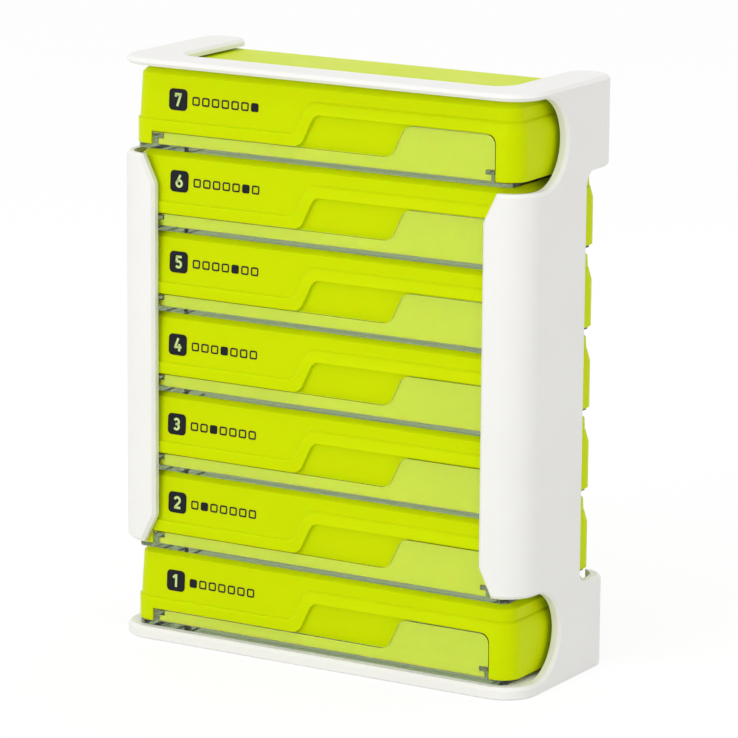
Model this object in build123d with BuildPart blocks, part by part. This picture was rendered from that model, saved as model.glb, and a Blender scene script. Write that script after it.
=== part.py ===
from build123d import *
import os
from math import atan, degrees, radians, tan

os.makedirs("parts", exist_ok=True)

# A rack of seven day boxes. Each box is a green moulding that opens downwards,
# closed from below by a clear slide. +X runs along a box, +Y from front to back.
# All sizes are in millimetres and all angles in degrees.

# Day box, outside
day_count = 7
box_w = 111.4
box_d = 42.0
box_h = 20.5
box_corner_r = 5.0
crown_chamfer = 1.7
shell_inset = 0.1
shell_draft = 3.4

# Day box, compartments and walls
compartment_count = 4
compartment_w = 21.4
compartment_chamfer = 1.2
divider_t = 1.2
roof_t = 1.6
front_wall = 2.9
back_wall = 2.4
end_wall = 2.4
pocket_chamfer = 0.8

# Raised band round the recess and under the label field on the front of a day box
band_w = 2.9
band_step = 0.15

# Clear slide
plate_t = 1.1
plate_end_inset = 1.7
plate_back_inset = 0.3
plate_corner_r = 2.0
flange_t = 1.0
flange_end_inset = 6.4
strip_h = 4.3
tab_h = 12.4
tab_foot_x = 20.2
tab_corner_r = 2.4

# S-shaped step, shared by the slide's tab, its recess and the band
step_angle = 64.0
step_bend_r = 3.0
recess_foot_x = -5.8

# Rails of the clear slide
rail_t = 1.0
rail_h = 2.6
hook_w = 2.6
hook_t = 0.9

# Fits between a clear slide and its green moulding
slide_gap = 0.1
recess_gap = 0.2
tab_gap = 0.4
rail_gap = 0.2

# Rack
wall_t = 2.4
lip_t = 2.2
lip_w = 12.2
lip_taper_w = 3.6
lip_taper_h = 7.3
lip_bend_r = 3.0
base_t = 3.1
top_t = 1.8
bar_d = 11.2
arm_w = 12.2
side_d = 31.0
front_r = 9.0
bay_front_r = 5.5
rear_r = 5.5
catch_t = 0.7
catch_w = 6.0
catch_r = 6.4
opening_r = 5.5
arm_tip_r = 4.5
finger_h = 22.4
finger_flat_d = 9.4
notch_r = 4.0
rim_chamfer = 0.8
foot_chamfer = 0.4

# Fits between the rack and the boxes
side_gap = 1.4
front_gap = 0.35
back_gap = 0.35
seat_gap = 0.1
stack_gap = 0.15
top_gap = 0.45
block_gap = 0.4

# Tolerances for choosing edges
touch = 0.01
upright_share = 0.999

# Values that follow: rack
level_pitch = box_h + stack_gap
bay_h = seat_gap + day_count * level_pitch + top_gap
bay_w = box_w + 2 * side_gap
frame_w = bay_w + 2 * wall_t
frame_d = lip_t + front_gap + box_d + back_gap + catch_t
frame_h = base_t + bay_h + top_t
frame_front = -frame_d / 2
frame_back = frame_d / 2
bay_front = frame_front + lip_t
bay_back = frame_back - catch_t
bay_top = base_t + bay_h

# Values that follow: day box
box_front = bay_front + front_gap
box_mid = box_front + box_d / 2
box_back = box_front + box_d
inner_front = box_front + front_wall
inner_back = box_back - back_wall
inner_d = inner_back - inner_front
inner_mid = (inner_front + inner_back) / 2
row_half = (compartment_count * compartment_w + (compartment_count - 1) * divider_t) / 2
guide_half = row_half + divider_t
pocket_half = box_w / 2 - end_wall
shell_floor = plate_t + slide_gap

# Values that follow: slide and relief
flange_half = box_w / 2 - flange_end_inset
recess_half = flange_half + recess_gap
recess_d = flange_t + recess_gap
recess_low = strip_h + recess_gap
recess_high = tab_h + tab_gap
band_low = recess_low + band_w
band_high = recess_high + band_w
band_foot_x = recess_foot_x - band_w * tan(radians(step_angle / 2))
rail_outer = flange_half - rail_gap
rail_inner = rail_outer - rail_t
hook_tip = rail_outer - hook_w
rail_top = plate_t + rail_h
hook_under = rail_top - hook_t
ledge_half = rail_inner - rail_gap
ledge_top = hook_under - rail_gap


def level_floor(level):
    """Height of the underside of a box; level 0 is the lowest."""
    return base_t + seat_gap + level * level_pitch


def stepped_outline(half, floor, low, high, foot_x, corner_r=0.0):
    """Outline that is low on the left and rises in an S to its high right part."""
    run = (high - low) / tan(radians(step_angle))
    with BuildSketch() as outline:
        with BuildLine():
            Polyline(
                (-half, floor),
                (-half, low),
                (foot_x, low),
                (foot_x + run, high),
                (half, high),
                (half, floor),
                close=True,
            )
        make_face()
        fillet(outline.vertices().sort_by(Axis.X)[2:4], radius=step_bend_r)
        if corner_r > 0:
            top_right = outline.vertices().group_by(Axis.X)[-1].sort_by(Axis.Y)[-1]
            fillet(top_right, radius=corner_r)
    return outline.sketch


def box_outline(inset):
    """Plan outline of a day box, drawn in by an inset on every side."""
    with BuildSketch() as outline:
        with Locations((0, box_mid)):
            RectangleRounded(box_w - 2 * inset, box_d - 2 * inset, box_corner_r - inset)
    return outline.sketch


def bevelled_rectangle(width, depth, bevel):
    """Rectangle with its four corners cut off."""
    with BuildSketch() as outline:
        Rectangle(width, depth)
        chamfer(outline.vertices(), length=bevel)
    return outline.sketch


def make_band(floor):
    """Lower part of the green shell, up to its S line; it stands proud of the label field."""
    foot = floor + shell_floor
    knee = floor + recess_high
    crest_inset = shell_inset + (floor + band_high - foot) * tan(radians(shell_draft))
    fade = degrees(atan((crest_inset - band_step) / band_w))
    with BuildPart() as band:
        with BuildSketch(Plane.XY.offset(foot)):
            add(box_outline(0))
        extrude(amount=knee - foot)
        with BuildSketch(Plane.XY.offset(knee)):
            add(box_outline(0))
        extrude(amount=band_w, taper=fade)
        with BuildSketch(Plane.XZ.offset(-box_mid)):
            add(stepped_outline(box_w, floor, floor + band_low, floor + band_high, band_foot_x))
        extrude(amount=box_d, both=True, mode=Mode.INTERSECT)
    return band.part


def make_body(level):
    """Green moulding of a day box: shell, four compartments and the ledges for the rails."""
    floor = level_floor(level)
    foot = floor + shell_floor
    pocket_top = floor + box_h - roof_t
    band = make_band(floor)
    with BuildPart() as body:
        # drafted shell with a bevelled crown
        with BuildSketch(Plane.XY.offset(foot)):
            add(box_outline(shell_inset))
        extrude(amount=box_h - shell_floor, taper=shell_draft)
        chamfer(body.faces().sort_by(Axis.Z)[-1].edges(), length=crown_chamfer)
        add(band)

        # recess in the front for the strip and the tab of the slide
        with BuildSketch(Plane.XZ.offset(-box_front - recess_d)):
            add(
                stepped_outline(
                    recess_half,
                    floor,
                    floor + recess_low,
                    floor + recess_high,
                    recess_foot_x,
                    tab_corner_r + recess_gap,
                )
            )
        extrude(amount=2 * recess_d, mode=Mode.SUBTRACT)

        # compartments, open downwards
        with BuildSketch(Plane.XY.offset(foot)):
            with Locations((0, inner_mid)):
                with GridLocations(compartment_w + divider_t, inner_d, compartment_count, 1):
                    add(bevelled_rectangle(compartment_w, inner_d, compartment_chamfer))
        extrude(amount=pocket_top - foot, mode=Mode.SUBTRACT)

        # hollow ends, narrower below the top of the ledges
        for height, inner in ((foot, ledge_half), (floor + ledge_top, guide_half)):
            pocket_w = pocket_half - inner
            with BuildSketch(Plane.XY.offset(height)):
                with Locations((0, inner_mid)):
                    with GridLocations(pocket_half + inner, inner_d, 2, 1):
                        add(bevelled_rectangle(pocket_w, inner_d, pocket_chamfer))
            extrude(amount=pocket_top - height, mode=Mode.SUBTRACT)

        # ways for the rails through the front wall, hidden behind the strip
        with BuildSketch(Plane.XZ.offset(-inner_front - pocket_chamfer)):
            with BuildLine():
                Polyline(
                    (ledge_half, foot),
                    (flange_half, foot),
                    (flange_half, floor + rail_top + rail_gap),
                    (hook_tip - rail_gap, floor + rail_top + rail_gap),
                    (hook_tip - rail_gap, floor + ledge_top),
                    (ledge_half, floor + ledge_top),
                    close=True,
                )
            make_face()
            mirror(about=Plane.YZ)
        extrude(amount=front_wall + pocket_chamfer, mode=Mode.SUBTRACT)
    return body.part


def make_slide(level):
    """Clear slide of a day box: floor plate, front strip with its tab, and two rails."""
    floor = level_floor(level)
    plate_w = box_w - 2 * plate_end_inset
    plate_d = box_d - plate_back_inset
    with BuildPart() as slide:
        with BuildSketch(Plane.XY.offset(floor)) as plate:
            with Locations((0, box_front + plate_d / 2)):
                Rectangle(plate_w, plate_d)
            fillet(plate.vertices().group_by(Axis.Y)[0], radius=plate_corner_r)
            chamfer(plate.vertices().group_by(Axis.Y)[-1], length=plate_corner_r)
        extrude(amount=plate_t)

        # strip and tab, in the plane of the plate's front edge
        with BuildSketch(Plane.XZ.offset(-box_front)):
            add(
                stepped_outline(
                    flange_half,
                    floor,
                    floor + strip_h,
                    floor + tab_h,
                    tab_foot_x,
                    tab_corner_r,
                )
            )
        extrude(amount=-flange_t)

        # hooked rails, which run above the ledges of the green moulding
        with BuildSketch(Plane.XZ.offset(-box_front)):
            with BuildLine():
                Polyline(
                    (rail_inner, floor),
                    (rail_outer, floor),
                    (rail_outer, floor + rail_top),
                    (hook_tip, floor + rail_top),
                    (hook_tip, floor + hook_under),
                    (rail_inner, floor + hook_under),
                    close=True,
                )
            make_face()
            mirror(about=Plane.YZ)
        extrude(amount=-(inner_back - pocket_chamfer - box_front))
    return slide.part


def is_at(edge, half_x, y):
    """Whether the middle of an edge is at a given distance from the YZ plane and a given Y."""
    middle = edge.position_at(0.5)
    return abs(abs(middle.X) - half_x) < touch and abs(middle.Y - y) < touch


def is_outer_rim(edge, plan):
    """Whether an edge borders an opening in the front or the sides of the rack, on the outside."""
    middle = edge.position_at(0.5)
    outline = plan.faces()[0].outer_wire()
    on_outside = outline.distance_to(Vector(middle.X, middle.Y, 0)) < touch
    upright = abs(edge.tangent_at(0.5).Z) > upright_share
    on_lip = is_at(edge, frame_w / 2 - lip_w, frame_front)
    in_bay = base_t - touch < middle.Z < bay_top + touch
    return on_outside and in_bay and middle.Y < frame_back - rear_r and (on_lip or not upright)


def make_rack():
    """White moulding that holds the boxes: base, side walls with front lips, and open top."""
    lip_inner = frame_w / 2 - lip_w
    arm_inner = frame_w / 2 - arm_w
    end_inner = lip_inner + lip_taper_w
    finger_r = finger_h / 2
    block_top = level_floor(1) - block_gap
    block_bottom = level_floor(day_count - 1) - stack_gap + block_gap
    with BuildPart() as rack:
        # outer block, rounded more at the front than at the back
        with BuildSketch() as plan:
            Rectangle(frame_w, frame_d)
            fillet(plan.vertices().group_by(Axis.Y)[0], radius=front_r)
            fillet(plan.vertices().group_by(Axis.Y)[-1], radius=rear_r)
        extrude(amount=frame_h)

        # bay for the boxes; its back corners are the catches behind the boxes
        with BuildSketch(Plane.XY.offset(base_t)) as bay:
            with Locations((0, (bay_front + bay_back) / 2)):
                Rectangle(bay_w, bay_back - bay_front)
            fillet(bay.vertices().group_by(Axis.Y)[0], radius=bay_front_r)
            fillet(bay.vertices().group_by(Axis.Y)[-1], radius=catch_r)
        extrude(amount=bay_h, mode=Mode.SUBTRACT)

        # way out at the back, between the catches
        with BuildSketch(Plane.XY.offset(base_t)):
            with Locations((0, frame_back)):
                Rectangle(frame_w - 2 * catch_w, 2 * catch_r)
        extrude(amount=bay_h, mode=Mode.SUBTRACT)

        # front window between the lips, wider at the ends of the lips
        with BuildSketch(Plane.XZ.offset(-bay_front - front_r)) as window:
            with BuildLine():
                Polyline(
                    (-end_inner, base_t),
                    (end_inner, base_t),
                    (end_inner, base_t + finger_h),
                    (lip_inner, base_t + finger_h + lip_taper_h),
                    (lip_inner, bay_top - finger_h - lip_taper_h),
                    (end_inner, bay_top - finger_h),
                    (end_inner, bay_top),
                    (-end_inner, bay_top),
                    (-end_inner, bay_top - finger_h),
                    (-lip_inner, bay_top - finger_h - lip_taper_h),
                    (-lip_inner, base_t + finger_h + lip_taper_h),
                    (-end_inner, base_t + finger_h),
                    close=True,
                )
            make_face()
            waists = window.vertices().filter_by(lambda v: abs(abs(v.X) - lip_inner) < touch)
            fillet(waists, radius=lip_bend_r)
        extrude(amount=lip_t + front_r, mode=Mode.SUBTRACT)

        # finger cut-outs through both sides, at the top and the bottom box
        with BuildSketch(Plane.YZ.offset(-frame_w)):
            for height in (base_t + finger_r, bay_top - finger_r):
                with Locations((frame_front + finger_flat_d, height)):
                    Circle(finger_r)
                with Locations((frame_front, height)):
                    Rectangle(2 * finger_flat_d, finger_h)
        extrude(amount=2 * frame_w, mode=Mode.SUBTRACT)

        # side walls cut back behind the boxes between the end blocks
        with BuildSketch(Plane.YZ.offset(-frame_w)) as notch:
            with Locations((frame_front + side_d + frame_d / 2, (block_top + block_bottom) / 2)):
                Rectangle(frame_d, block_bottom - block_top)
            fillet(notch.vertices().group_by(Axis.X)[0], radius=notch_r)
        extrude(amount=2 * frame_w, mode=Mode.SUBTRACT)

        # top plate open towards the back, between two arms
        with BuildSketch(Plane.XY.offset(bay_top)) as opening:
            with Locations((0, frame_front + bar_d + frame_d / 2)):
                Rectangle(2 * arm_inner, frame_d)
            fillet(opening.vertices().group_by(Axis.Y)[0], radius=opening_r)
        extrude(amount=top_t, mode=Mode.SUBTRACT)
        tips = rack.edges().filter_by(Axis.Z).filter_by(lambda e: is_at(e, arm_inner, frame_back))
        fillet(tips, radius=arm_tip_r)

        # soft edges: front window and finger cut-outs, then the top and the underside
        chamfer(rack.edges().filter_by(lambda e: is_outer_rim(e, plan.sketch)), length=rim_chamfer)
        chamfer(rack.faces().sort_by(Axis.Z)[-1].edges(), length=rim_chamfer)
        chamfer(rack.faces().sort_by(Axis.Z)[0].edges(), length=foot_chamfer)
    return rack.part


def finish_part(part, name):
    """Label a piece and write it."""
    part.label = name
    export_step(part, "parts/" + name + ".step")


rack = make_rack()
finish_part(rack, "rack")
for level in range(day_count):
    finish_part(make_body(level), "box_body_" + str(level + 1))
    finish_part(make_slide(level), "box_slide_" + str(level + 1))
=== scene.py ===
"""Looks of the weekly day-box organizer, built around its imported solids.

All lengths are in metres.
"""

import logging
import math
from dataclasses import dataclass, field
from enum import Enum

import bmesh
import bpy
from mathutils import Matrix, Vector


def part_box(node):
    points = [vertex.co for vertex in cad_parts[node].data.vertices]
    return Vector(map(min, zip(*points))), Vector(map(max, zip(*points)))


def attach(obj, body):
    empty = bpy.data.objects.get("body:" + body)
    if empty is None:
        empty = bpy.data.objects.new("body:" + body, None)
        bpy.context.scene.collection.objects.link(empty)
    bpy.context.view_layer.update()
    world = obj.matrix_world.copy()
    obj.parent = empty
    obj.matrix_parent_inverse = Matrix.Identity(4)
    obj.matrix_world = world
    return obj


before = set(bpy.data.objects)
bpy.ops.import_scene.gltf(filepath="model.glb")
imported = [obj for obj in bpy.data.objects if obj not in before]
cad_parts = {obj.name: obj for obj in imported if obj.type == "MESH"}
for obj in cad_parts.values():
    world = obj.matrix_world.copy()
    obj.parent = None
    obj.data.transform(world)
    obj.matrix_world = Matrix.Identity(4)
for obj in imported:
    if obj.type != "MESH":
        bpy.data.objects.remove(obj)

LOG = logging.getLogger("organizer")
MM = 0.001
DAY_COUNT = 7
LIGHT_BOUNCES = 16
MIRROR_BOUNCES = 12

Point2 = tuple[float, float]
RGBA = tuple[float, float, float, float]


class Slot(Enum):
    """Material slots of the part's record."""

    RACK = "rack_white"
    BODY = "box_green"
    SLIDE = "slide_clear"


def srgb(red: int, green: int, blue: int) -> RGBA:
    """Turn a display colour into the linear colour a shader takes.

    Args:
        red: Red, from 0 to 255.
        green: Green, from 0 to 255.
        blue: Blue, from 0 to 255.

    Returns:
        The linear colour with full alpha.
    """

    def linear(value: int) -> float:
        """Return one channel as a linear value."""
        share = value / 255
        return share / 12.92 if share <= 0.04045 else ((share + 0.055) / 1.055) ** 2.4

    return (linear(red), linear(green), linear(blue), 1.0)


class NodeSheet:
    """A node tree with short calls for adding and joining its nodes."""

    def __init__(self, tree: bpy.types.NodeTree) -> None:
        """Keep the tree that the calls work on."""
        self.tree = tree

    def add(self, kind: str, **settings: object) -> bpy.types.Node:
        """Add a node.

        Args:
            kind: The node's type name.
            **settings: Properties of the node, such as its operation.

        Returns:
            The new node.
        """
        node = self.tree.nodes.new(kind)
        for name, value in settings.items():
            setattr(node, name, value)
        return node

    def join(self, source: bpy.types.NodeSocket, target: bpy.types.NodeSocket) -> None:
        """Join an output to an input."""
        self.tree.links.new(source, target)

    def sum_up(
        self, operation: str, first: bpy.types.NodeSocket, second: bpy.types.NodeSocket | float
    ) -> bpy.types.NodeSocket:
        """Combine two values.

        Args:
            operation: The Math node's operation.
            first: The first value.
            second: The second value, as a socket or a number.

        Returns:
            The socket with the result.
        """
        node = self.add("ShaderNodeMath", operation=operation)
        self.join(first, node.inputs[0])
        if isinstance(second, float):
            node.inputs[1].default_value = second
        else:
            self.join(second, node.inputs[1])
        return node.outputs[0]

    def noise(
        self, vector: bpy.types.NodeSocket, scale: float, detail: float
    ) -> bpy.types.NodeSocket:
        """Add a noise texture.

        Args:
            vector: The coordinates it reads.
            scale: Waves per metre.
            detail: Number of finer layers.

        Returns:
            The socket with the noise value.
        """
        node = self.add("ShaderNodeTexNoise")
        node.inputs["Scale"].default_value = scale
        node.inputs["Detail"].default_value = detail
        self.join(vector, node.inputs["Vector"])
        return node.outputs["Fac"]

    def spread(
        self, value: bpy.types.NodeSocket, source: Point2, target: Point2
    ) -> bpy.types.NodeSocket:
        """Map a value from one range to another, held at both ends.

        Args:
            value: The socket with the value.
            source: Its range.
            target: The range that it is brought to.

        Returns:
            The socket with the mapped value.
        """
        node = self.add("ShaderNodeMapRange", clamp=True)
        for index, number in enumerate((*source, *target), start=1):
            node.inputs[index].default_value = number
        self.join(value, node.inputs[0])
        return node.outputs[0]

    def blend(
        self,
        first: bpy.types.NodeSocket | RGBA,
        second: RGBA,
        factor: bpy.types.NodeSocket,
    ) -> bpy.types.NodeSocket:
        """Mix two colours.

        Args:
            first: The colour at factor 0, as a socket or a fixed colour.
            second: The colour at factor 1.
            factor: The socket with the factor.

        Returns:
            The socket with the mixed colour.
        """
        node = self.add("ShaderNodeMix", data_type="RGBA")
        if isinstance(first, tuple):
            node.inputs["A"].default_value = first
        else:
            self.join(first, node.inputs["A"])
        node.inputs["B"].default_value = second
        self.join(factor, node.inputs["Factor"])
        return node.outputs["Result"]

    def bump(
        self,
        height: bpy.types.NodeSocket,
        strength: float,
        distance: float,
        normal: bpy.types.NodeSocket | None = None,
    ) -> bpy.types.NodeSocket:
        """Add a bump.

        Args:
            height: The socket with the height.
            strength: Strength of the bump.
            distance: Height of a full step.
            normal: The normal it starts from, or None for the surface's own.

        Returns:
            The socket with the bumped normal.
        """
        node = self.add("ShaderNodeBump")
        node.inputs["Strength"].default_value = strength
        node.inputs["Distance"].default_value = distance
        self.join(height, node.inputs["Height"])
        if normal is not None:
            self.join(normal, node.inputs["Normal"])
        return node.outputs["Normal"]


def new_group(name: str, inputs: dict[str, float], outputs: dict[str, str]) -> NodeSheet:
    """Start a shader node group.

    Args:
        name: The group's name.
        inputs: Names and default values of its number inputs.
        outputs: Names and socket types of its outputs.

    Returns:
        The group's sheet, with its input and output nodes named "in" and "out".
    """
    tree = bpy.data.node_groups.new(name, "ShaderNodeTree")
    for socket, value in inputs.items():
        made = tree.interface.new_socket(socket, in_out="INPUT", socket_type="NodeSocketFloat")
        made.default_value = value
    for socket, kind in outputs.items():
        tree.interface.new_socket(socket, in_out="OUTPUT", socket_type=kind)
    sheet = NodeSheet(tree)
    sheet.add("NodeGroupInput", name="in")
    sheet.add("NodeGroupOutput", name="out")
    return sheet


def moulded_skin_group() -> bpy.types.NodeTree:
    """Build the faint unevenness of an injection-moulded surface.

    Returns:
        A group that gives a shade mask, a roughness change and a height.
    """
    flow_detail, flow_distortion, grain_detail, roughness_swing = 3.0, 0.8, 2.0, 0.12
    sheet = new_group(
        "moulded_skin",
        {"Flow Scale": 60.0, "Grain Scale": 2600.0, "Grain Share": 0.35},
        {
            "Shade": "NodeSocketFloat",
            "Roughness Shift": "NodeSocketFloat",
            "Height": "NodeSocketFloat",
        },
    )
    nodes = sheet.tree.nodes
    place = sheet.add("ShaderNodeTexCoord")
    flow = sheet.add("ShaderNodeTexNoise")
    flow.inputs["Detail"].default_value = flow_detail
    flow.inputs["Distortion"].default_value = flow_distortion
    grain = sheet.add("ShaderNodeTexNoise")
    grain.inputs["Detail"].default_value = grain_detail
    for node, socket in ((flow, "Flow Scale"), (grain, "Grain Scale")):
        sheet.join(place.outputs["Object"], node.inputs["Vector"])
        sheet.join(nodes["in"].outputs[socket], node.inputs["Scale"])
    sheet.join(flow.outputs["Fac"], nodes["out"].inputs["Shade"])
    centred = sheet.sum_up("SUBTRACT", flow.outputs["Fac"], 0.5)
    swing = sheet.sum_up("MULTIPLY", centred, roughness_swing)
    sheet.join(swing, nodes["out"].inputs["Roughness Shift"])
    fine = sheet.sum_up("MULTIPLY", grain.outputs["Fac"], nodes["in"].outputs["Grain Share"])
    height = sheet.sum_up("ADD", flow.outputs["Fac"], fine)
    sheet.join(height, nodes["out"].inputs["Height"])
    return sheet.tree


def handling_group() -> bpy.types.NodeTree:
    """Build the traces of handling: hair scratches and a little dust on upward faces.

    Returns:
        A group that gives a scratch mask and a dust mask.
    """
    hair_turn, hair_stretch, hair_detail = (0.35, 0.6, 0.4), (1.0, 14.0, 9.0), 4.0
    hair_range, upward_range = (0.66, 0.72), (0.75, 1.0)
    speck_scale, speck_detail, speck_range = 900.0, 3.0, (0.56, 0.75)
    full = (0.0, 1.0)
    sheet = new_group(
        "handling",
        {"Scratch Scale": 90.0, "Dust Amount": 0.5},
        {"Scratch": "NodeSocketFloat", "Dust": "NodeSocketFloat"},
    )
    nodes = sheet.tree.nodes
    place = sheet.add("ShaderNodeTexCoord")
    stretch = sheet.add("ShaderNodeMapping")
    stretch.inputs["Rotation"].default_value = hair_turn
    stretch.inputs["Scale"].default_value = hair_stretch
    sheet.join(place.outputs["Object"], stretch.inputs["Vector"])
    hair = sheet.add("ShaderNodeTexNoise")
    hair.inputs["Detail"].default_value = hair_detail
    sheet.join(stretch.outputs["Vector"], hair.inputs["Vector"])
    sheet.join(nodes["in"].outputs["Scratch Scale"], hair.inputs["Scale"])
    thin = sheet.spread(hair.outputs["Fac"], hair_range, full)
    sheet.join(thin, nodes["out"].inputs["Scratch"])
    normal = sheet.add("ShaderNodeNewGeometry")
    split = sheet.add("ShaderNodeSeparateXYZ")
    sheet.join(normal.outputs["Normal"], split.inputs[0])
    upward = sheet.spread(split.outputs["Z"], upward_range, full)
    speckle = sheet.noise(place.outputs["Object"], speck_scale, speck_detail)
    settled = sheet.sum_up("MULTIPLY", upward, sheet.spread(speckle, speck_range, full))
    dust = sheet.sum_up("MULTIPLY", settled, nodes["in"].outputs["Dust Amount"])
    sheet.join(dust, nodes["out"].inputs["Dust"])
    return sheet.tree


@dataclass(frozen=True)
class StackRuler:
    """Heights that repeat from box to box, read from the frame."""

    foot: float
    pitch: float

    @classmethod
    def read(cls) -> "StackRuler":
        """Read the foot of the lowest slide and the distance to the next one."""
        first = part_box("box_slide_1")[0].z
        return cls(first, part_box("box_slide_2")[0].z - first)

    def height(
        self, sheet: NodeSheet, place: bpy.types.NodeSocket
    ) -> tuple[bpy.types.NodeSocket, bpy.types.Node]:
        """Add the height above the foot of the box that a point belongs to.

        Args:
            sheet: The sheet that gets the nodes.
            place: The point's own coordinates.

        Returns:
            The socket with the height, and the node that splits the coordinates.
        """
        split = sheet.add("ShaderNodeSeparateXYZ")
        sheet.join(place, split.inputs[0])
        above = sheet.sum_up("SUBTRACT", split.outputs["Z"], self.foot - 0.05 * MM)
        return sheet.sum_up("MODULO", above, self.pitch), split


def soft_band_group(ruler: StackRuler) -> bpy.types.NodeTree:
    """Build the rolled-over upper edge of the raised band on a day box.

    Args:
        ruler: Heights of the stack.

    Returns:
        A group that gives a height, from 0 above the band to 1 on it.
    """
    low_edge, high_edge, foot_x = 7.4 * MM, 15.7 * MM, -7.6 * MM
    slope = math.radians(64)
    bend, roll = 2.5 * MM, 0.5 * MM
    sheet = new_group("soft_band", {}, {"Height": "NodeSocketFloat"})
    place = sheet.add("ShaderNodeTexCoord")
    height, split = ruler.height(sheet, place.outputs["Object"])
    under_low = sheet.sum_up("MULTIPLY", sheet.sum_up("SUBTRACT", height, low_edge), -1.0)
    under_high = sheet.sum_up("MULTIPLY", sheet.sum_up("SUBTRACT", height, high_edge), -1.0)
    across = sheet.sum_up(
        "MULTIPLY", sheet.sum_up("SUBTRACT", split.outputs["X"], foot_x), math.sin(slope)
    )
    climb = sheet.sum_up("MULTIPLY", under_low, math.cos(slope))
    beside = sheet.sum_up("ADD", across, climb)
    upper = sheet.sum_up("SMOOTH_MIN", beside, under_high)
    upper.node.inputs[2].default_value = bend
    edge = sheet.sum_up("SMOOTH_MAX", under_low, upper)
    edge.node.inputs[2].default_value = bend
    rolled = sheet.spread(edge, (-roll, roll), (0.0, 1.0))
    rolled.node.interpolation_type = "SMOOTHSTEP"
    sheet.join(rolled, sheet.tree.nodes["out"].inputs["Height"])
    return sheet.tree


def rail_mask_group(ruler: StackRuler) -> bpy.types.NodeTree:
    """Build the mask of the slide's rails, which run between green walls and carry a painted
    green light from them.

    Args:
        ruler: Heights of the stack.

    Returns:
        A group that gives 1 on the rails and 0 on the plate and the strip.
    """
    plate_t, strip_t = 1.1 * MM, 1.0 * MM
    sheet = new_group("rail_mask", {}, {"Mask": "NodeSocketFloat"})
    place = sheet.add("ShaderNodeTexCoord")
    height, split = ruler.height(sheet, place.outputs["Object"])
    strip_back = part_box("box_slide_1")[0].y + strip_t
    above = sheet.sum_up("GREATER_THAN", height, plate_t + 0.15 * MM)
    behind = sheet.sum_up("GREATER_THAN", split.outputs["Y"], strip_back + 0.05 * MM)
    both = sheet.sum_up("MULTIPLY", above, behind)
    sheet.join(both, sheet.tree.nodes["out"].inputs["Mask"])
    return sheet.tree


@dataclass(frozen=True)
class SharedEffects:
    """Node groups that the finishes use."""

    skin: bpy.types.NodeTree
    handling: bpy.types.NodeTree
    soft_band: bpy.types.NodeTree
    rail_mask: bpy.types.NodeTree


@dataclass(frozen=True)
class MouldedFinish:
    """An opaque injection-moulded plastic."""

    name: str
    colour: RGBA
    shade_colour: RGBA
    roughness: float
    grain_depth: float
    shade_share: float
    gloss: float = 0.5
    gloss_tint: RGBA = (1.0, 1.0, 1.0, 1.0)
    dust_colour: RGBA = (0.80, 0.79, 0.76, 1.0)
    dust_share: float = 0.06
    scratch_rise: float = 0.16
    glow: float = 0.0
    glow_reach: tuple[float, float, float] = (1.0, 1.0, 1.0)
    glow_depth: float = 1.0 * MM
    band_depth: float = 0.0
    refraction: float = 1.5
    grain_strength: float = 0.35
    flow_range: Point2 = (0.3, 0.7)

    def make(self, effects: SharedEffects) -> bpy.types.Material:
        """Build the material.

        Args:
            effects: The shared node groups.

        Returns:
            The finished material.
        """
        material, sheet, shader = new_material(self.name)
        skin = sheet.add("ShaderNodeGroup", node_tree=effects.skin)
        wear = sheet.add("ShaderNodeGroup", node_tree=effects.handling)
        shade = sheet.spread(skin.outputs["Shade"], self.flow_range, (0.0, self.shade_share))
        base = sheet.blend(self.colour, self.shade_colour, shade)
        dust = sheet.sum_up("MULTIPLY", wear.outputs["Dust"], self.dust_share)
        sheet.join(sheet.blend(base, self.dust_colour, dust), shader.inputs["Base Color"])
        scratched = sheet.sum_up("MULTIPLY", wear.outputs["Scratch"], self.scratch_rise)
        uneven = sheet.sum_up("ADD", skin.outputs["Roughness Shift"], scratched)
        rough = sheet.sum_up("ADD", uneven, self.roughness)
        sheet.join(rough, shader.inputs["Roughness"])
        shader.inputs["IOR"].default_value = self.refraction
        shader.inputs["Specular IOR Level"].default_value = self.gloss
        shader.inputs["Specular Tint"].default_value = self.gloss_tint
        shader.inputs["Subsurface Weight"].default_value = self.glow
        shader.inputs["Subsurface Radius"].default_value = self.glow_reach
        shader.inputs["Subsurface Scale"].default_value = self.glow_depth
        rolled = None
        if self.band_depth > 0:
            band = sheet.add("ShaderNodeGroup", node_tree=effects.soft_band)
            rolled = sheet.bump(band.outputs["Height"], 1.0, self.band_depth)
        grain = sheet.bump(skin.outputs["Height"], self.grain_strength, self.grain_depth, rolled)
        sheet.join(grain, shader.inputs["Normal"])
        return material


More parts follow.
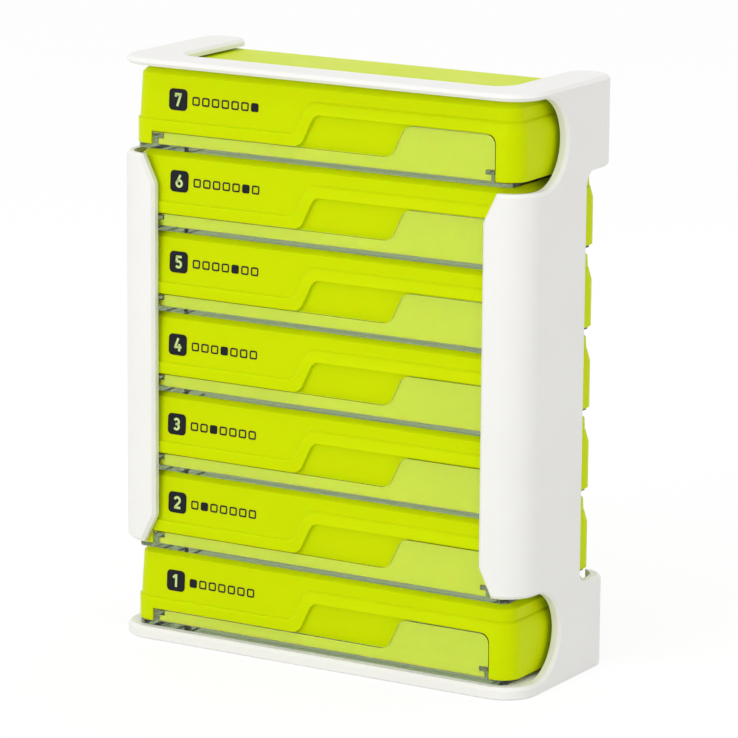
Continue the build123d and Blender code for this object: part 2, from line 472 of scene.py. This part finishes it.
@dataclass(frozen=True)
class ClearFinish:
    """A polished clear plastic that lets the lamps through, with painted green light on its
    rails.
    """

    name: str
    colour: RGBA
    streak_colour: RGBA
    # colour of the rails: painted green light, standing in for light bounced from the green walls
    # around them
    rail_painted_green_light: RGBA
    depth_colour: RGBA
    depth_density: float
    roughness: float
    refraction: float = 1.49
    flow_scale: float = 40.0
    flow_strength: float = 0.1
    flow_depth: float = 0.02 * MM
    scratch_rise: float = 0.08

    def make(self, effects: SharedEffects) -> bpy.types.Material:
        """Build the material.

        Args:
            effects: The shared node groups.

        Returns:
            The finished material.
        """
        material, sheet, shader = new_material(self.name)
        skin = sheet.add("ShaderNodeGroup", node_tree=effects.skin)
        skin.inputs["Flow Scale"].default_value = self.flow_scale
        skin.inputs["Grain Share"].default_value = 0.0
        wear = sheet.add("ShaderNodeGroup", node_tree=effects.handling)
        rails = sheet.add("ShaderNodeGroup", node_tree=effects.rail_mask)
        streaked = sheet.blend(self.colour, self.streak_colour, skin.outputs["Shade"])
        # painted green light: the rails' clear colour is tinted yellow-green where the green
        # walls would light them
        rails_painted_green_light = sheet.blend(streaked, self.rail_painted_green_light, rails.outputs["Mask"])
        sheet.join(rails_painted_green_light, shader.inputs["Base Color"])
        scratched = sheet.sum_up("MULTIPLY", wear.outputs["Scratch"], self.scratch_rise)
        rough = sheet.sum_up("ADD", scratched, self.roughness)
        sheet.join(rough, shader.inputs["Roughness"])
        shader.inputs["Transmission Weight"].default_value = 1.0
        shader.inputs["IOR"].default_value = self.refraction
        wavy = sheet.bump(skin.outputs["Height"], self.flow_strength, self.flow_depth)
        sheet.join(wavy, shader.inputs["Normal"])
        path = sheet.add("ShaderNodeLightPath")
        passing = sheet.add("ShaderNodeBsdfTransparent")
        passing.inputs["Color"].default_value = self.colour
        mix = sheet.add("ShaderNodeMixShader")
        sheet.join(path.outputs["Is Shadow Ray"], mix.inputs["Fac"])
        sheet.join(shader.outputs["BSDF"], mix.inputs[1])
        sheet.join(passing.outputs["BSDF"], mix.inputs[2])
        output = material.node_tree.nodes["Material Output"]
        sheet.join(mix.outputs["Shader"], output.inputs["Surface"])
        depth = sheet.add("ShaderNodeVolumeAbsorption")
        depth.inputs["Color"].default_value = self.depth_colour
        depth.inputs["Density"].default_value = self.depth_density
        sheet.join(depth.outputs["Volume"], output.inputs["Volume"])
        return material


@dataclass(frozen=True)
class PrintFinish:
    """A pad-printed ink, slightly broken at the grain of the plastic under it."""

    name: str
    colour: RGBA
    thin_colour: RGBA
    roughness: float
    gloss: float = 0.15
    flow_scale: float = 500.0
    cover_range: Point2 = (0.35, 0.8)
    grain_strength: float = 0.2
    grain_depth: float = 0.01 * MM

    def make(self, effects: SharedEffects) -> bpy.types.Material:
        """Build the material.

        Args:
            effects: The shared node groups.

        Returns:
            The finished material.
        """
        material, sheet, shader = new_material(self.name)
        skin = sheet.add("ShaderNodeGroup", node_tree=effects.skin)
        skin.inputs["Flow Scale"].default_value = self.flow_scale
        cover = sheet.spread(skin.outputs["Shade"], self.cover_range, (0.0, 1.0))
        ink = sheet.blend(self.colour, self.thin_colour, cover)
        sheet.join(ink, shader.inputs["Base Color"])
        rough = sheet.sum_up("ADD", skin.outputs["Roughness Shift"], self.roughness)
        sheet.join(rough, shader.inputs["Roughness"])
        shader.inputs["Specular IOR Level"].default_value = self.gloss
        grain = sheet.bump(skin.outputs["Height"], self.grain_strength, self.grain_depth)
        sheet.join(grain, shader.inputs["Normal"])
        return material


def new_material(name: str) -> tuple[bpy.types.Material, NodeSheet, bpy.types.Node]:
    """Start a material.

    Args:
        name: The material's name.

    Returns:
        The material, its sheet and its main shader.
    """
    material = bpy.data.materials.new(name)
    material.use_nodes = True
    shader = material.node_tree.nodes["Principled BSDF"]
    return material, NodeSheet(material.node_tree), shader


@dataclass(frozen=True)
class Palette:
    """All finishes of the organizer, built."""

    white: bpy.types.Material
    green: bpy.types.Material
    clear: bpy.types.Material
    ink: bpy.types.Material
    numeral: bpy.types.Material

    @classmethod
    def make(cls) -> "Palette":
        """Build every finish once."""
        ruler = StackRuler.read()
        effects = SharedEffects(
            moulded_skin_group(), handling_group(), soft_band_group(ruler), rail_mask_group(ruler)
        )
        return cls(
            white=MouldedFinish(
                "rack_white_plastic",
                colour=srgb(244, 243, 240),
                shade_colour=srgb(240, 239, 235),
                roughness=0.36,
                grain_depth=0.02 * MM,
                shade_share=0.5,
                gloss=0.4,
            ).make(effects),
            green=MouldedFinish(
                "box_green_plastic",
                colour=srgb(210, 228, 0),
                shade_colour=srgb(205, 225, 0),
                roughness=0.38,
                grain_depth=0.02 * MM,
                shade_share=0.6,
                gloss=0.1,
                gloss_tint=srgb(240, 250, 120),
                band_depth=0.36 * MM,
                dust_share=0.02,
                glow=0.6,
                glow_reach=(0.45, 1.0, 0.05),
                glow_depth=1.6 * MM,
            ).make(effects),
            clear=ClearFinish(
                "slide_clear_plastic",
                colour=(0.985, 0.99, 0.98, 1.0),
                streak_colour=(0.965, 0.975, 0.96, 1.0),
                # painted green light on the rails, standing in for the green walls' bounced light
                rail_painted_green_light=(0.82, 0.95, 0.15, 1.0),
                depth_colour=(0.66, 0.73, 0.56, 1.0),
                depth_density=88.0,
                roughness=0.02,
            ).make(effects),
            ink=PrintFinish(
                "badge_ink", srgb(18, 20, 26), srgb(26, 29, 32), roughness=0.5
            ).make(effects),
            numeral=PrintFinish(
                "numeral_ink", srgb(206, 226, 150), srgb(194, 216, 128), roughness=0.5
            ).make(effects),
        )


@dataclass(frozen=True)
class EdgeSoftening:
    """Small rounding of the sharp edges of a solid."""

    radius: float
    segments: int = 3
    sharp_angle: float = math.radians(28)
    flat_angle: float = math.radians(0.5)
    weld_gap: float = 0.001 * MM
    face_weight: int = 80

    def apply(self, piece: bpy.types.Object) -> None:
        """Round the edges of a piece with modifiers, leaving its own mesh as it is.

        Args:
            piece: The piece to soften.
        """
        piece.data.shade_smooth()
        weld = piece.modifiers.new("weld", "WELD")
        weld.merge_threshold = self.weld_gap
        flat = piece.modifiers.new("flat_faces", "DECIMATE")
        flat.decimate_type = "DISSOLVE"
        flat.angle_limit = self.flat_angle
        soft = piece.modifiers.new("soft_edges", "BEVEL")
        soft.width = self.radius
        soft.segments = self.segments
        soft.limit_method = "ANGLE"
        soft.angle_limit = self.sharp_angle
        soft.harden_normals = False
        soft.use_clamp_overlap = True
        shading = piece.modifiers.new("face_shading", "WEIGHTED_NORMAL")
        shading.mode = "FACE_AREA"
        shading.weight = self.face_weight
        shading.keep_sharp = False


def dress(piece: bpy.types.Object, material: bpy.types.Material) -> None:
    """Give a piece its finish.

    Args:
        piece: The piece to dress.
        material: Its finish.
    """
    piece.data.materials.clear()
    piece.data.materials.append(material)
    LOG.info("dressed %s in %s", piece.name, material.name)


def rounded_loop(width: float, height: float, radius: float, steps: int = 6) -> list[Point2]:
    """Work out the outline of a rounded rectangle.

    Args:
        width: Its width.
        height: Its height.
        radius: Its corner radius.
        steps: Segments in each corner.

    Returns:
        The points, anticlockwise, about its centre.
    """
    points = []
    for corner in range(4):
        side_x = 1 if corner in (0, 3) else -1
        side_y = 1 if corner in (0, 1) else -1
        centre = (side_x * (width / 2 - radius), side_y * (height / 2 - radius))
        for step in range(steps + 1):
            angle = math.radians(90 * (corner + step / steps))
            points.append(
                (centre[0] + radius * math.cos(angle), centre[1] + radius * math.sin(angle))
            )
    return points


def inked_piece(
    name: str, builder: bmesh.types.BMesh, thickness: float
) -> bpy.types.Object:
    """Thicken flat faces and link them to the scene as a piece.

    Args:
        name: The piece's name.
        builder: The flat faces, freed at the end.
        thickness: Thickness of the ink.

    Returns:
        The piece, with its back at zero.
    """
    raised = bmesh.ops.extrude_face_region(builder, geom=builder.faces[:])
    moved = [item for item in raised["geom"] if isinstance(item, bmesh.types.BMVert)]
    bmesh.ops.translate(builder, verts=moved, vec=(0, 0, thickness))
    bmesh.ops.recalc_face_normals(builder, faces=builder.faces[:])
    mesh = bpy.data.meshes.new(name)
    builder.to_mesh(mesh)
    builder.free()
    piece = bpy.data.objects.new(name, mesh)
    bpy.context.scene.collection.objects.link(piece)
    return piece


def printed_patch(
    name: str, outer: list[Point2], inner: list[Point2] | None, thickness: float
) -> bpy.types.Object:
    """Build a thin printed patch, whole or as a ring.

    Args:
        name: The piece's name.
        outer: Its outline.
        inner: The outline of its hole, with as many points, or None.
        thickness: Thickness of the ink.

    Returns:
        The patch, lying in its own XY plane with its back at zero.
    """
    builder = bmesh.new()
    outer_verts = [builder.verts.new((x, y, 0)) for x, y in outer]
    if inner is None:
        builder.faces.new(outer_verts)
    else:
        inner_verts = [builder.verts.new((x, y, 0)) for x, y in inner]
        for index in range(len(outer)):
            after = (index + 1) % len(outer)
            builder.faces.new(
                (outer_verts[index], outer_verts[after], inner_verts[after], inner_verts[index])
            )
    return inked_piece(name, builder, thickness)


def arc(
    centre: Point2, radius: float, first: float, last: float, steps: int = 12
) -> list[Point2]:
    """Work out the points of a circular arc.

    Args:
        centre: Its centre.
        radius: Its radius.
        first: Angle of its first point, in degrees.
        last: Angle of its last point, in degrees.
        steps: Number of its parts.

    Returns:
        The points from first to last.
    """
    angles = [math.radians(first + (last - first) * step / steps) for step in range(steps + 1)]
    return [
        (centre[0] + radius * math.cos(angle), centre[1] + radius * math.sin(angle))
        for angle in angles
    ]


def numeral_strokes(day: int) -> list[list[Point2]]:
    """Give the middle lines of the strokes of a numeral.

    Args:
        day: The numeral, from 1 to 7.

    Returns:
        The strokes, for a numeral one unit high that stands on zero.
    """
    strokes = {
        1: [[(0.34, 1.0), (0.34, 0.0)], [(0.30, 0.93), (0.06, 0.72)]],
        2: [
            [*arc((0.30, 0.67), 0.235, 165, -38), (0.09, 0.10)],
            [(0.03, 0.095), (0.60, 0.095)],
        ],
        3: [
            arc((0.29, 0.70), 0.205, 155, -80),
            arc((0.29, 0.305), 0.21, 85, -155),
            [(0.20, 0.505), (0.33, 0.505)],
        ],
        4: [
            [(0.36, 1.0), (0.09, 0.31)],
            [(0.02, 0.31), (0.66, 0.31)],
            [(0.46, 0.56), (0.46, 0.0)],
        ],
        5: [
            [(0.08, 0.905), (0.58, 0.905)],
            [(0.15, 0.95), (0.13, 0.50)],
            arc((0.30, 0.33), 0.235, 138, -150),
        ],
        6: [arc((0.31, 0.33), 0.235, 0, 360, 24), [(0.40, 0.98), (0.115, 0.42)]],
        7: [
            [(0.02, 0.905), (0.62, 0.905)],
            [(0.54, 0.93), (0.24, 0.0)],
            [(0.1, 0.9), (0.1, 0.7)],
        ],
    }
    return strokes[day]


def numeral_piece(name: str, day: int, height: float, thickness: float) -> bpy.types.Object:
    """Build a printed numeral from broad strokes.

    Args:
        name: The piece's name.
        day: The numeral.
        height: Height of the numeral.
        thickness: Thickness of the ink.

    Returns:
        The numeral as a mesh, centred in its own XY plane.
    """
    half_stroke = 0.095
    middle = Vector((0.32, 0.5, 0.0))
    builder = bmesh.new()
    for stroke in numeral_strokes(day):
        points = [(Vector((x, y, 0.0)) - middle) * height for x, y in stroke]
        sides = []
        for index, point in enumerate(points):
            before = points[max(index - 1, 0)]
            after = points[min(index + 1, len(points) - 1)]
            run = (after - before).normalized()
            across = Vector((-run.y, run.x, 0.0)) * half_stroke * height
            sides.append([builder.verts.new(point + across), builder.verts.new(point - across)])
        for near, far in zip(sides, sides[1:]):
            builder.faces.new((near[0], near[1], far[1], far[0]))
    return inked_piece(name, builder, thickness)


@dataclass
class Rack:
    """The white rack."""

    palette: Palette
    node: str = "rack"
    softening: EdgeSoftening = EdgeSoftening(0.3 * MM)

    def build(self) -> None:
        """Dress the rack."""
        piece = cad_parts[self.node]
        dress(piece, self.palette.white)
        self.softening.apply(piece)


@dataclass
class DayBox:
    """One day box: green moulding, clear slide and the prints on its label field."""

    palette: Palette
    day: int
    draft: float = math.radians(3.4)
    field_inset: float = 0.1 * MM
    badge_size: float = 5.45 * MM
    badge_corner: float = 1.15 * MM
    badge_x: float = -41.5 * MM
    badge_height: float = 11.7 * MM
    print_drift: tuple[Point2, ...] = (
        (-1.4 * MM, -0.4 * MM),
        (-0.9 * MM, -0.4 * MM),
        (-1.0 * MM, -0.6 * MM),
        (-0.7 * MM, -0.6 * MM),
        (-0.4 * MM, 0.0),
        (-0.15 * MM, 0.0),
        (-0.45 * MM, 0.0),
    )
    numeral_height: float = 3.3 * MM
    ink: float = 0.02 * MM
    mark_size: float = 2.2 * MM
    mark_corner: float = 0.5 * MM
    mark_line: float = 0.4 * MM
    marks_x: Point2 = (5.3 * MM, 22.6 * MM)
    body_softening: EdgeSoftening = EdgeSoftening(0.45 * MM)
    slide_softening: EdgeSoftening = EdgeSoftening(0.12 * MM, segments=2)

    @property
    def body(self) -> str:
        """Name of the green moulding's node and body."""
        return f"box_body_{self.day}"

    @property
    def slide(self) -> str:
        """Name of the clear slide's node and body."""
        return f"box_slide_{self.day}"

    def build(self) -> None:
        """Dress both mouldings and print the label field."""
        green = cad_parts[self.body]
        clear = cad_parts[self.slide]
        dress(green, self.palette.green)
        dress(clear, self.palette.clear)
        self.body_softening.apply(green)
        self.slide_softening.apply(clear)
        self.print_badge()
        self.print_marks()

    def on_field(self, x: float, height: float, lift: float) -> Matrix:
        """Place something on the drafted label field.

        Args:
            x: Place along the box.
            height: Height above the foot of the green moulding.
            lift: Distance in front of the field.

        Returns:
            The matrix that brings the XY plane onto the field.
        """
        low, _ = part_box(self.body)
        drift_x, drift_z = self.print_drift[self.day - 1]
        height += drift_z
        face_y = low.y + self.field_inset + height * math.tan(self.draft)
        place = Matrix.Translation((x + drift_x, face_y, low.z + height))
        turn = Matrix.Rotation(math.radians(90) - self.draft, 4, "X")
        return place @ turn @ Matrix.Translation((0, 0, lift))

    def set_print(self, piece: bpy.types.Object, place: Matrix, ink: bpy.types.Material) -> None:
        """Put a printed piece in its place on the box.

        Args:
            piece: The printed piece.
            place: Where it goes.
            ink: Its finish.
        """
        piece.data.transform(place)
        dress(piece, ink)
        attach(piece, self.body)

    def print_badge(self) -> None:
        """Print the dark badge with the number of the day."""
        outline = rounded_loop(self.badge_size, self.badge_size, self.badge_corner)
        badge = printed_patch(f"badge_{self.day}", outline, None, self.ink)
        self.set_print(badge, self.on_field(self.badge_x, self.badge_height, 0), self.palette.ink)
        numeral = numeral_piece(f"numeral_{self.day}", self.day, self.numeral_height, self.ink)
        place = self.on_field(self.badge_x, self.badge_height, self.ink)
        self.set_print(numeral, place, self.palette.numeral)

    def print_marks(self) -> None:
        """Print a row of seven small squares, with the square of the day filled."""
        first, last = self.marks_x
        outer = rounded_loop(self.mark_size, self.mark_size, self.mark_corner)
        hole = self.mark_size - 2 * self.mark_line
        inner = rounded_loop(hole, hole, self.mark_corner - self.mark_line)
        for index in range(DAY_COUNT):
            x = self.badge_x + first + (last - first) * index / (DAY_COUNT - 1)
            filled = index + 1 == self.day
            mark = printed_patch(
                f"mark_{self.day}_{index + 1}", outer, None if filled else inner, self.ink
            )
            self.set_print(mark, self.on_field(x, self.badge_height, 0), self.palette.ink)


@dataclass
class PhotoCamera:
    """The camera at the photograph's viewpoint."""

    target: Vector = field(default_factory=lambda: Vector((0, 2.2, 75.0)) * MM)
    azimuth: float = math.radians(30.974)
    elevation: float = math.radians(12.522)
    roll: float = math.radians(0.441)
    distance: float = 1139.06 * MM
    aside: float = 0.933 * MM
    above: float = -2.717 * MM
    focal_px: float = 4523.23
    image_px: int = 738
    sensor: float = 36.0

    def build(self) -> None:
        """Create the camera and make it the scene's camera."""
        back = Vector(
            (
                math.sin(self.azimuth) * math.cos(self.elevation),
                -math.cos(self.azimuth) * math.cos(self.elevation),
                math.sin(self.elevation),
            )
        )
        level = Vector((math.cos(self.azimuth), math.sin(self.azimuth), 0))
        upright = back.cross(level)
        right = level * math.cos(self.roll) + upright * math.sin(self.roll)
        up = back.cross(right)
        place = self.target + back * self.distance + right * self.aside + up * self.above
        data = bpy.data.cameras.new("photo_camera")
        data.lens = self.focal_px * self.sensor / self.image_px
        data.sensor_width = self.sensor
        data.clip_start = 0.01
        data.clip_end = 20.0
        camera = bpy.data.objects.new("photo_camera", data)
        camera.matrix_world = Matrix(
            (
                (right.x, up.x, back.x, place.x),
                (right.y, up.y, back.y, place.y),
                (right.z, up.z, back.z, place.z),
                (0, 0, 0, 1),
            )
        )
        bpy.context.scene.collection.objects.link(camera)
        bpy.context.scene.camera = camera
        LOG.info("camera at %s", tuple(round(value, 4) for value in place))


@dataclass(frozen=True)
class Softbox:
    """A large soft lamp that looks at the organizer."""

    name: str
    place: tuple[float, float, float]
    size: float
    power: float

    def build(self, target: Vector) -> None:
        """Create the lamp.

        Args:
            target: The point that it looks at.
        """
        data = bpy.data.lights.new(self.name, "AREA")
        data.shape = "SQUARE"
        data.size = self.size
        data.energy = self.power
        lamp = bpy.data.objects.new(self.name, data)
        lamp.location = self.place
        lamp.rotation_euler = (target - Vector(self.place)).to_track_quat("-Z", "Y").to_euler()
        bpy.context.scene.collection.objects.link(lamp)


@dataclass
class Studio:
    """Floor, world and lamps."""

    floor_half: float = 3.0
    floor_white: float = 0.82
    floor_glow: float = 1.09
    floor_glow_share: float = 0.75
    floor_roughness: float = 0.9
    world_level: float = 0.72
    lamps: tuple[Softbox, ...] = (
        Softbox("front", (-0.25, -1.45, 0.55), 0.7, 6.0),
        Softbox("side", (1.5, -0.1, 0.4), 0.8, 1.2),
        Softbox("top", (0.15, -0.35, 1.5), 0.9, 3.4),
    )

    def build(self) -> None:
        """Create the floor, the world and the lamps."""
        self.build_floor()
        self.build_world()
        for lamp in self.lamps:
            lamp.build(Vector((0, 0, 75 * MM)))

    def seen_plainly(self, sheet: NodeSheet) -> bpy.types.NodeSocket:
        """Tell rays that show the background from those that light the object.

        Args:
            sheet: The sheet of the material or the world.

        Returns:
            A socket that is 1 on camera, mirror and see-through rays.
        """
        path = sheet.add("ShaderNodeLightPath")
        seen = sheet.sum_up(
            "MAXIMUM", path.outputs["Is Camera Ray"], path.outputs["Is Glossy Ray"]
        )
        return sheet.sum_up("MAXIMUM", seen, path.outputs["Is Transmission Ray"])

    def build_floor(self) -> None:
        """Lay a pale floor that keeps a soft shadow."""
        mesh = bpy.data.meshes.new("floor")
        half = self.floor_half
        corners = [(-half, -half, 0), (half, -half, 0), (half, half, 0), (-half, half, 0)]
        mesh.from_pydata(corners, [], [(0, 1, 2, 3)])
        floor = bpy.data.objects.new("floor", mesh)
        bpy.context.scene.collection.objects.link(floor)
        material, sheet, shader = new_material("pale_floor")
        shader.inputs["Base Color"].default_value = (self.floor_white,) * 3 + (1.0,)
        shader.inputs["Roughness"].default_value = self.floor_roughness
        glow = sheet.add("ShaderNodeEmission")
        glow.inputs["Color"].default_value = (1, 1, 1, 1)
        glow.inputs["Strength"].default_value = self.floor_glow
        mix = sheet.add("ShaderNodeMixShader")
        share = sheet.sum_up("MULTIPLY", self.seen_plainly(sheet), self.floor_glow_share)
        sheet.join(share, mix.inputs["Fac"])
        sheet.join(shader.outputs["BSDF"], mix.inputs[1])
        sheet.join(glow.outputs["Emission"], mix.inputs[2])
        output = material.node_tree.nodes["Material Output"]
        sheet.join(mix.outputs["Shader"], output.inputs["Surface"])
        mesh.materials.append(material)

    def build_world(self) -> None:
        """Light the scene evenly and show the background as white."""
        world = bpy.data.worlds.new("studio")
        world.use_nodes = True
        bpy.context.scene.world = world
        sheet = NodeSheet(world.node_tree)
        background = world.node_tree.nodes["Background"]
        background.inputs["Color"].default_value = (1, 1, 1, 1)
        level = sheet.spread(self.seen_plainly(sheet), (0.0, 1.0), (self.world_level, 1.0))
        sheet.join(level, background.inputs["Strength"])


def main() -> None:
    """Dress the whole organizer and set up the studio."""
    logging.basicConfig(level=logging.INFO, format="%(name)s: %(message)s")
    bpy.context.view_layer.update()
    bpy.context.scene.view_settings.view_transform = "Standard"
    bpy.context.scene.cycles.max_bounces = LIGHT_BOUNCES
    bpy.context.scene.cycles.glossy_bounces = MIRROR_BOUNCES
    palette = Palette.make()
    Rack(palette).build()
    for day in range(1, DAY_COUNT + 1):
        DayBox(palette, day).build()
    PhotoCamera().build()
    Studio().build()


if __name__ == "__main__":
    main()
